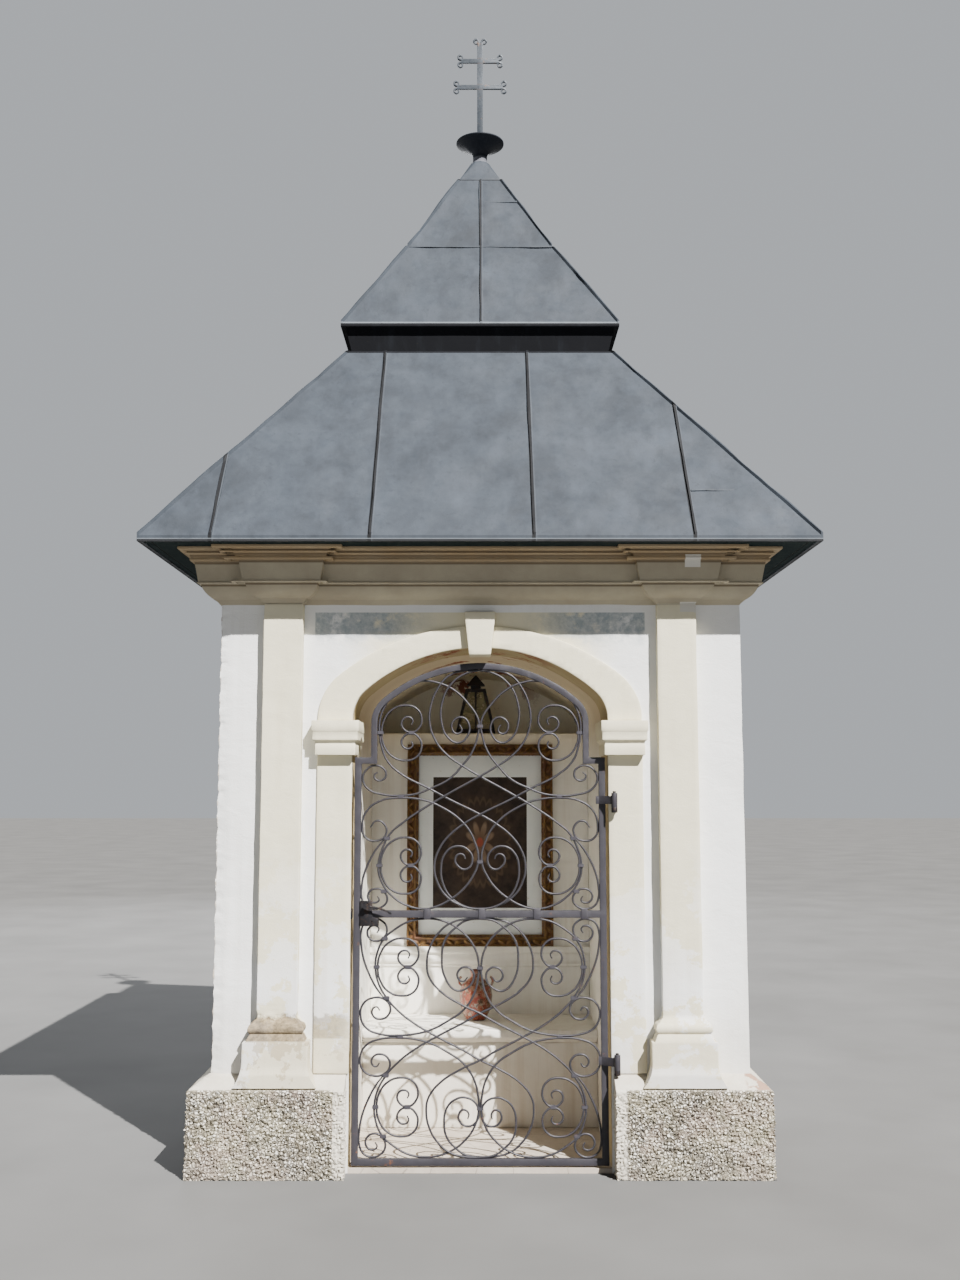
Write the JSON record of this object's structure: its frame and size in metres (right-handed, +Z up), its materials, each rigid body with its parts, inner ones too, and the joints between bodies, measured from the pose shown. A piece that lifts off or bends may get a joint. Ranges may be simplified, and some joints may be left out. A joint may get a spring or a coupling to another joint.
{
  "type": "wayside shrine",
  "caption": "Open-fronted masonry wayside shrine with an arched niche, a scrolled wrought-iron gate and a two-tier sheet-metal pyramid roof under a cross.",
  "frame": {"origin": "on the ground under the middle of the square plan, at the middle of the eaves", "axes": "+Z up; the gated front looks along -Y; +X to the right of someone facing the gate"},
  "size_m": [2.826, 2.826, 5.635],
  "materials": {
    "plaster": "matt white lime wash on smooth render",
    "cream_plaster": "matt ivory lime paint on smooth render",
    "pebbledash": "coarse thrown render, matt",
    "niche_plaster": "matt off-white lime wash",
    "floor_screed": "worn cement screed",
    "roof_sheet": "weathered matt grey sheet",
    "soffit_board": "weathered dark boards",
    "cross_iron": "light grey paint",
    "gate_iron": "violet grey paint, slightly worn",
    "lock_iron": "dark worn iron",
    "gilt_wood": "antique gold over carved wood",
    "mat_card": "matt pale card",
    "print_paper": "matt dark print",
    "lantern_iron": "dark rusty iron",
    "lantern_glass": "dusty greenish glass",
    "jar_glaze": "mottled red and orange glaze"
  },
  "bodies": {
    "masonry": {"altar_block": "niche_plaster", "altar_slab": "niche_plaster", "arch_band": "cream_plaster", "back_wall": "plaster", "cornice_back": "cream_plaster", "cornice_front": "cream_plaster", "cornice_left": "cream_plaster", "cornice_right": "cream_plaster", "cross": "cross_iron", "finial_cap": "roof_sheet", "finial_dish": "roof_sheet", "floor": "floor_screed", "front_arch_wall": "plaster", "front_pier_left": "plaster", "front_pier_right": "plaster", "hinge_pintles": "lock_iron", "impost_left": "cream_plaster", "impost_right": "cream_plaster", "jamb_left": "cream_plaster", "jamb_right": "cream_plaster", "keystone": "cream_plaster", "lantern_frame": "lantern_iron", "lantern_glass": "lantern_glass", "left_wall": "plaster", "lock_keeper": "lock_iron", "lower_roof": "roof_sheet", "neck": "roof_sheet", "picture_frame": "gilt_wood", "picture_mat": "mat_card", "picture_print": "print_paper", "picture_shelf": "niche_plaster", "pilaster_left": "cream_plaster", "pilaster_right": "cream_plaster", "plinth_back": "pebbledash", "plinth_front_left": "pebbledash", "plinth_front_right": "pebbledash", "plinth_left": "pebbledash", "plinth_right": "pebbledash", "reredos": "niche_plaster", "right_wall": "plaster", "soffit": "soffit_board", "upper_roof": "roof_sheet", "vault": "plaster", "votive_jar": "jar_glaze"},
    "gate": {"gate_frame": "gate_iron", "upper_scrolls": "gate_iron", "lower_scrolls": "gate_iron", "hinge_straps": "gate_iron", "lock": "lock_iron"},
    "lever": {"lever_handle": "lock_iron"}
  },
  "joints": [
    {"name": "gate_hinge", "type": "hinge", "parent": "masonry", "child": "gate", "pos_m": [0.567, -1.155, 0.45], "axis": [0, 0, 1], "range_deg": [0, 100]},
    {"name": "lever_turn", "type": "hinge", "parent": "gate", "child": "lever", "pos_m": [-0.479, -1.115, 1.082], "axis": [0, 1, 0], "range_deg": [0, 35], "stiffness_Nm_per_rad": 1, "springref_deg": -20.05}
  ]
}
